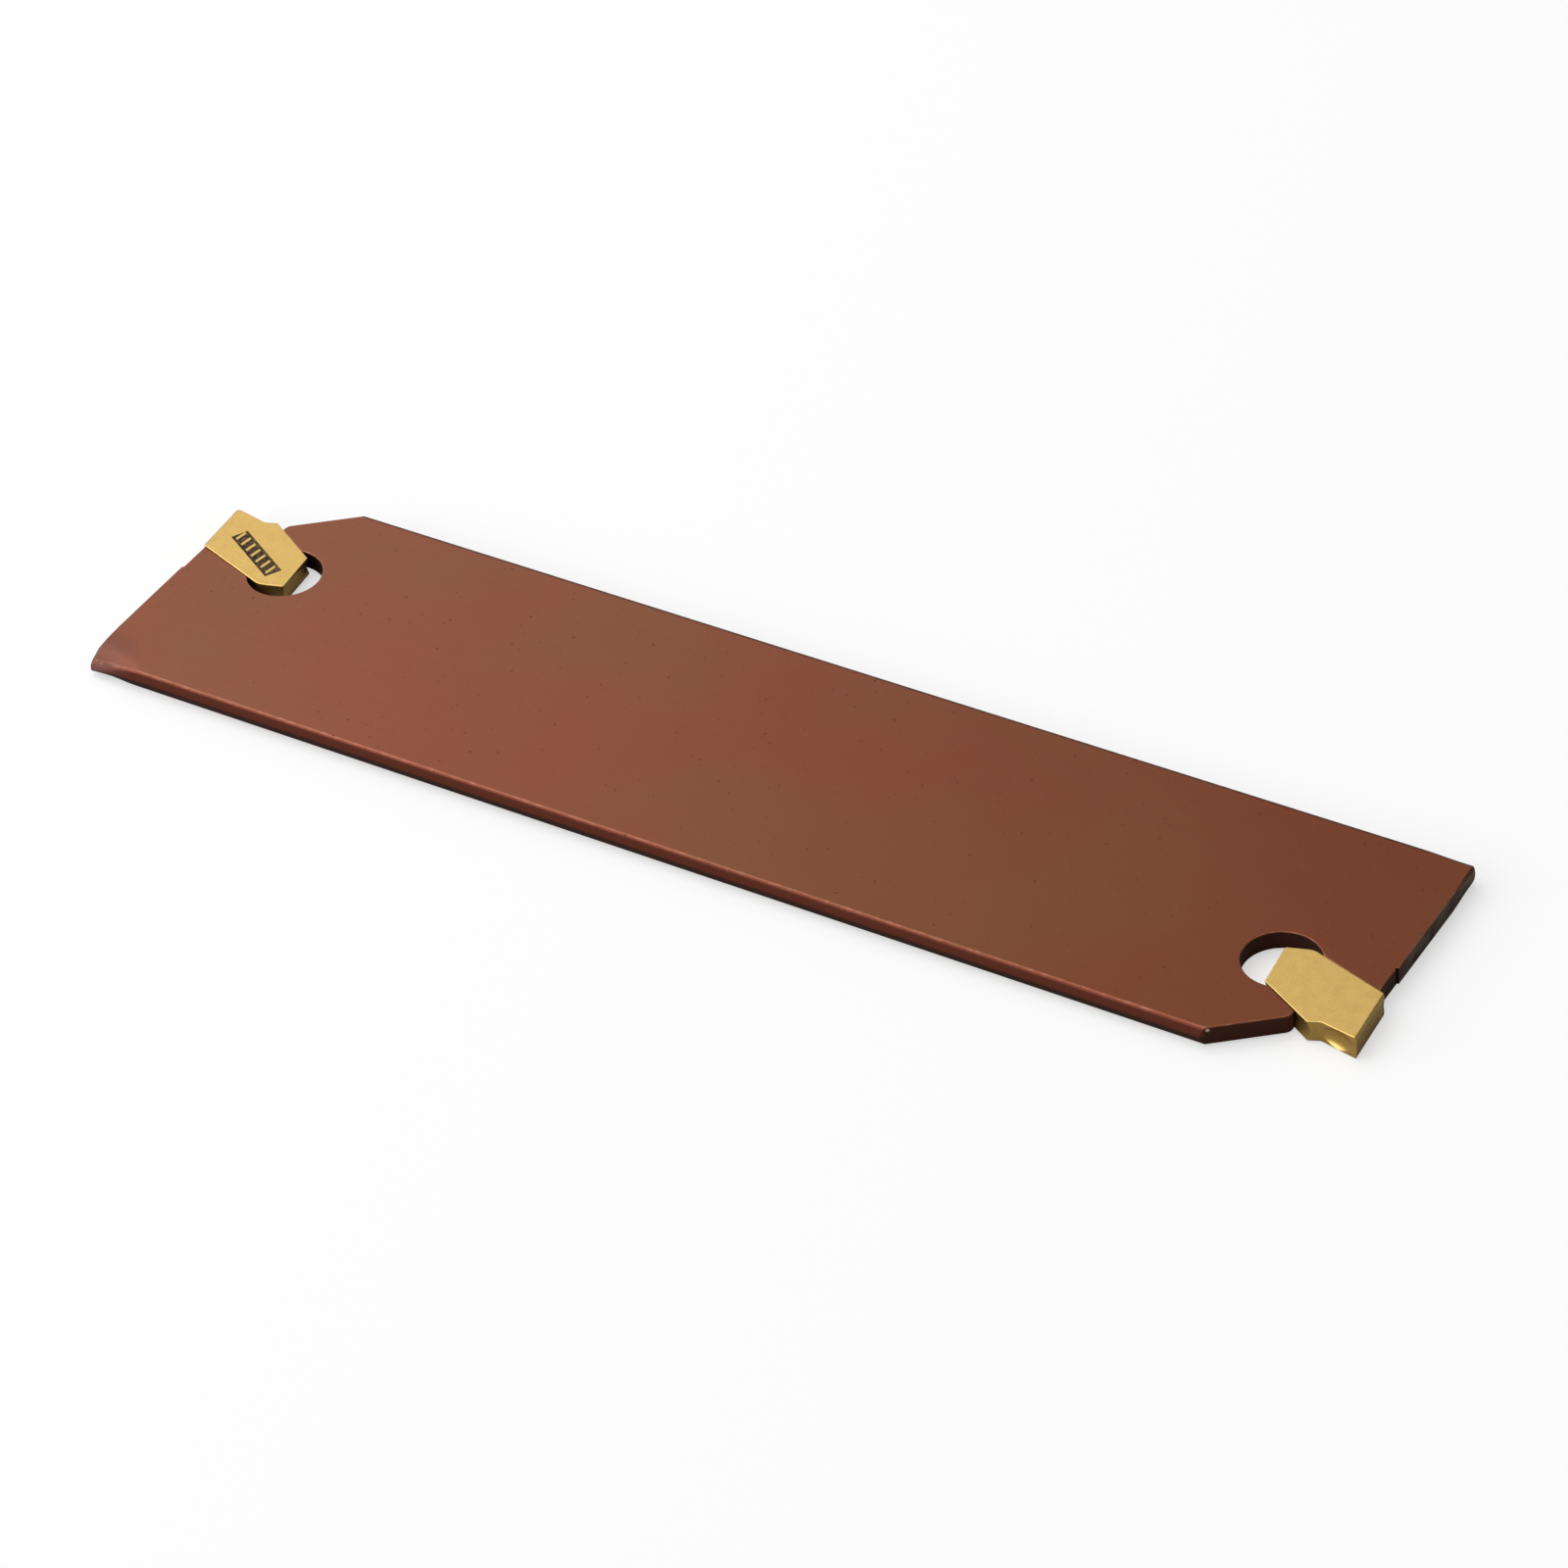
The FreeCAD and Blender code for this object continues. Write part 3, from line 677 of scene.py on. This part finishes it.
def coated_steel():
    """A thin reddish-brown coating over ground tool steel: satin, a little mottled.

    Where a tone begins and is full is in millimetres, from the blade's middle or a point on it.
    """
    n = Nodes("brown_coated_steel")
    x, y, z = n.add("ShaderNodeSeparateXYZ", {0: n.place}).outputs

    # The coating, with a painted sheen that makes it lighter at the left end and darker towards the
    # right end.
    cloud = n.spread(n.noise(0.05, 3.0), 0.35, 0.68)
    sheened_left_tone, right_tone = n.mix(cloud, *COAT_LEFT_WITH_PAINTED_SHEEN), n.mix(cloud, *COAT_RIGHT)
    tone = n.mix(n.spread(x, -HALF_LENGTH, HALF_LENGTH), sheened_left_tone, right_tone)
    grind = n.noise(1.0, 3.0, stretch=(0.08, 9.0, 9.0))
    grain = n.noise(14.0, 3.0)
    tone = n.mix(n.spread(grind, 0.3, 0.7, 0.0, 0.08), tone, GRINDING_LINE)

    # Painted shade: dark on the milled walls, darker and redder on the ground bevels, the lower
    # bevel darker still. Dark along the far edge.
    tone = n.mix(n.math("MULTIPLY", n.mark("milled"), 0.9), tone, WALL_PAINTED_SHADE)
    bevel = n.spread(n.math("ABSOLUTE", y), HALF_HEIGHT - 0.29, HALF_HEIGHT - 0.23)
    above_middle = n.spread(z, MID_Z - 0.2, MID_Z + 0.05)
    tone = n.mix(bevel, tone, n.mix(above_middle, LOWER_BEVEL_PAINTED_SHADE, UPPER_BEVEL_PAINTED_SHADE))
    far_edge = n.spread(y, HALF_HEIGHT - 0.56, HALF_HEIGHT - 0.44, 0.0, 0.9)
    tone = n.mix(far_edge, tone, FAR_EDGE)

    # Rubbed olive in patches on the ends. Greyer and darker at the pressed corner, with painted
    # shade that holds down the highlight on its rounded surface.
    end = n.spread(n.math("ABSOLUTE", x), HALF_LENGTH - 0.1, HALF_LENGTH - 0.02)
    patches = n.spread(n.noise(0.5, 4.0), 0.4, 0.55, 0.25, 0.9)
    tone = n.mix(n.math("MULTIPLY", end, patches), tone, RUBBED_END)
    seen_from_above = n.add("ShaderNodeCombineXYZ", {0: x, 1: y}).outputs[0]
    gap = n.distance(seen_from_above, (*PRESSED_CORNER, 0))
    tone = n.mix(n.spread(gap, 1.2, 5.0, 0.75, 0.0), tone, GREYED_CORNER_PAINTED_SHADE)

    # Worn along the edges, with a painted highlight on the rounded crease, a few small pits, and
    # the chip.
    scuff = n.spread(n.noise(1.6, 4.0), 0.45, 0.7, 0.25, 1.0)
    worn = n.math("MULTIPLY", n.mark("wear"), scuff)
    tone = n.mix(n.math("MULTIPLY", worn, 0.4), tone, WORN_EDGE_AND_HIGHLIGHT)
    tone = n.mix(n.spread(n.noise(2.4, 1.0), 0.745, 0.77, 0.0, 0.6), tone, PIT)
    chip = n.distance(n.place, CHIP)
    tone = n.mix(n.spread(chip, 0.06, 0.22, 1.0, 0.0), tone, BARE_STEEL)

    relief = n.math("ADD", n.math("MULTIPLY", grind, 0.6), grain)
    return n.surface(
        {
            "Base Color": tone,
            "Metallic": 0.85,
            "Specular IOR Level": 0.3,
            "Roughness": n.spread(grain, 0.3, 0.7, 0.38, 0.46),
            "Normal": n.bump(relief, 0.004, 0.35),
        }
    )


def gold_nitride(name, mark_centre=None):
    """A gold nitride coating over sintered carbide: fine-grained, satin metal."""
    n = Nodes(name)
    tone = n.mix(n.spread(n.noise(1.1, 4.0), 0.35, 0.7), GOLD, DEEP_GOLD)
    grain = n.noise(18.0, 4.0, rough=0.6)
    rough = n.spread(grain, 0.3, 0.7, 0.24, 0.34)
    scuff = n.spread(n.noise(3.0, 3.0), 0.4, 0.65, 0.05, 0.3)
    # Lighter along the rounded edges: edge wear and a painted highlight.
    tone = n.mix(n.math("MULTIPLY", n.mark("wear"), scuff), tone, RUBBED_GOLD_AND_HIGHLIGHT)
    if mark_centre is not None:
        etched = laser_mark(n, mark_centre)
        tone = n.mix(etched, tone, ETCHED)
        rough = n.math("ADD", rough, n.math("MULTIPLY", etched, 0.3))
    return n.surface(
        {
            "Base Color": tone,
            "Metallic": 0.9,
            "Roughness": rough,
            "Normal": n.bump(grain, 0.006, 0.4),
        }
    )


def laser_mark(n, centre):
    """Plain slanted bars between two rules, etched on the upper side: 1 where there is ink."""
    shift = n.add("ShaderNodeVectorMath", {0: n.place, 1: centre}, operation="SUBTRACT").outputs[0]
    inputs = {"Vector": shift, "Angle": UPPER_FLANK_ANGLE}
    turned = n.add("ShaderNodeVectorRotate", inputs, rotation_type="Z_AXIS").outputs[0]
    along, across, height = n.add("ShaderNodeSeparateXYZ", {0: turned}).outputs
    slant = n.math("ADD", along, n.math("MULTIPLY", across, MARK_SLANT))
    wave = n.math("FRACT", n.math("MULTIPLY", slant, MARK_BARS / MARK_LENGTH))
    bars = n.math("LESS_THAN", wave, MARK_BAR_SHARE)
    aside = n.math("ABSOLUTE", across)
    ink = n.math("MAXIMUM", bars, n.math("GREATER_THAN", aside, MARK_RULE_START))
    limits = (
        n.math("LESS_THAN", n.math("ABSOLUTE", along), MARK_LENGTH / 2),
        n.math("LESS_THAN", aside, MARK_HEIGHT / 2),
        n.math("GREATER_THAN", height, 0.0),
        n.spread(n.noise(5.0, 3.0), 0.3, 0.6, 0.78, 1.0),
    )
    for limit in limits:
        ink = n.math("MULTIPLY", ink, limit)
    return ink


# ---------------------------------------------------------------------------------------------
# Stage


FLOOR_REACH = 3.0  # metres
FLOOR_GAP = 0.02  # just clear of the object's underside
TABLE = (0.4, 0.38, 0.36, 1)
PALE_FLOOR = (0.45, 0.45, 0.45, 1)
FLOOR_GLOW = 0.57


def floor_material():
    """Pale to look at. Rays that light the object see a greyer table, as in a studio."""
    material = bpy.data.materials.new("pale_floor")
    material.use_nodes = True
    tree = material.node_tree
    tree.nodes.clear()
    output = tree.nodes.new("ShaderNodeOutputMaterial")
    choice = tree.nodes.new("ShaderNodeMixShader")
    table = tree.nodes.new("ShaderNodeBsdfDiffuse")
    lit = tree.nodes.new("ShaderNodeAddShader")
    pale = tree.nodes.new("ShaderNodeBsdfDiffuse")
    glow = tree.nodes.new("ShaderNodeEmission")
    seen = tree.nodes.new("ShaderNodeLightPath")
    table.inputs["Color"].default_value = TABLE
    pale.inputs["Color"].default_value = PALE_FLOOR
    glow.inputs["Strength"].default_value = FLOOR_GLOW
    tree.links.new(seen.outputs["Is Camera Ray"], choice.inputs[0])
    tree.links.new(pale.outputs[0], lit.inputs[0])
    tree.links.new(glow.outputs[0], lit.inputs[1])
    tree.links.new(table.outputs[0], choice.inputs[1])
    tree.links.new(lit.outputs[0], choice.inputs[2])
    tree.links.new(choice.outputs[0], output.inputs["Surface"])
    return material


def make_floor():
    mesh = bpy.data.meshes.new("floor")
    signs = (-1, -1), (1, -1), (1, 1), (-1, 1)
    corners = [(x * FLOOR_REACH, y * FLOOR_REACH, 0) for x, y in signs]
    mesh.from_pydata(corners, [], [(0, 1, 2, 3)])
    floor = bpy.data.objects.new("floor", mesh)
    floor.location.z = cad_box[0][2] - FLOOR_GAP * MM
    mesh.materials.append(floor_material())
    bpy.context.scene.collection.objects.link(floor)


def softbox(name, azimuth, elevation, distance, size, power):
    """A lamp of this width and height that looks at the middle. Azimuth 0 is on the -Y side."""
    lamp = bpy.data.lights.new(name, "AREA")
    lamp.shape = "RECTANGLE"
    lamp.size, lamp.size_y = size
    lamp.energy = power
    az, el = math.radians(azimuth), math.radians(elevation)
    way = Vector((math.sin(az) * math.cos(el), -math.cos(az) * math.cos(el), math.sin(el)))
    holder = bpy.data.objects.new(name, lamp)
    holder.location = way * distance
    holder.rotation_euler = way.to_track_quat("Z", "Y").to_euler()
    bpy.context.scene.collection.objects.link(holder)


def make_world(brightness):
    world = bpy.data.worlds.new("studio")
    world.use_nodes = True
    back = world.node_tree.nodes["Background"]
    back.inputs["Color"].default_value = (1, 1, 1, 1)
    back.inputs["Strength"].default_value = brightness
    bpy.context.scene.world = world


CAMERA_PLACE = Vector((199.95, -301.21, 290.64))
CAMERA_AZIMUTH, CAMERA_ELEVATION, CAMERA_ROLL = 33.301, 38.901, -4.372  # degrees
CAMERA_LENS = 137.2
SENSOR = 36.0


def make_camera():
    data = bpy.data.cameras.new("camera")
    data.lens = CAMERA_LENS
    data.sensor_width = SENSOR
    data.clip_start = 0.01
    camera = bpy.data.objects.new("camera", data)
    tilt = math.radians(90 - CAMERA_ELEVATION)
    aim = Euler((tilt, 0, math.radians(CAMERA_AZIMUTH))).to_matrix()
    turned = aim @ Matrix.Rotation(math.radians(CAMERA_ROLL), 3, "Z")
    camera.matrix_world = Matrix.Translation(CAMERA_PLACE * MM) @ turned.to_4x4()
    bpy.context.scene.collection.objects.link(camera)
    bpy.context.scene.camera = camera


# ---------------------------------------------------------------------------------------------
# The scene


def finish_piece(piece, node, material):
    piece.data.materials.append(material)
    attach(piece, node)
    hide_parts(node)


left_place, right_place = insert_places()
finish_piece(make_blade(), "blade", coated_steel())
finish_piece(
    make_insert("left_coated_insert", left_place, edge_radius=0.35),
    "left_insert",
    gold_nitride("marked_gold_nitride", left_place @ MARK_CENTRE),
)
finish_piece(
    make_insert("right_coated_insert", right_place, edge_radius=0.05),
    "right_insert",
    gold_nitride("gold_nitride"),
)

make_floor()
softbox("back_key", azimuth=238, elevation=42, distance=1.4, size=(1.5, 1.5), power=5.5)
softbox("overhead", azimuth=-85, elevation=66, distance=1.2, size=(1.4, 1.4), power=9.5)
softbox("low_front", azimuth=-38, elevation=21, distance=1.4, size=(2.2, 0.65), power=12)
make_world(brightness=0.2)
make_camera()
bpy.context.scene.view_settings.view_transform = "Standard"
